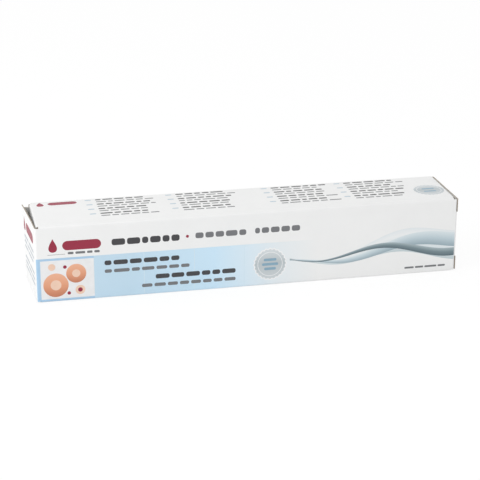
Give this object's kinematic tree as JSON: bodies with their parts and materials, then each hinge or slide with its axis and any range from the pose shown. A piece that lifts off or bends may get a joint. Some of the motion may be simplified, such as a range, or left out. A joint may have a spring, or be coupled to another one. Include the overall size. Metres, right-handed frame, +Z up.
{
  "type": "folding carton",
  "caption": "Long square-section folding carton of white coated board, printed on its front, top and end, with hinged tuck-in end closures and inner dust flaps.",
  "frame": {"origin": "middle of the bottom panel's outside, which lies on Z = 0", "axes": "+X along the carton towards its right end, +Y from the front panel to the back panel, +Z up"},
  "size_m": [0.1721, 0.031, 0.031],
  "materials": {
    "sleeve_board": "white coated chipboard with a satin printed outside and a grey back",
    "closure_board": "white coated chipboard with a satin printed outside and a grey back"
  },
  "bodies": {
    "carton": {"carton_sleeve": "sleeve_board"},
    "left_closure": {"left_end_flap": "closure_board"},
    "right_closure": {"right_end_flap": "closure_board"}
  },
  "joints": [
    {"name": "left_closure_hinge", "type": "hinge", "parent": "carton", "child": "left_closure", "pos_m": [-0.08478, -0.01528, 0.0155], "axis": [0, 0, 1], "range_deg": [-3.2, 130]},
    {"name": "right_closure_hinge", "type": "hinge", "parent": "carton", "child": "right_closure", "pos_m": [0.08478, 0.01528, 0.0155], "axis": [0, 0, 1], "range_deg": [-0.8, 130]}
  ]
}
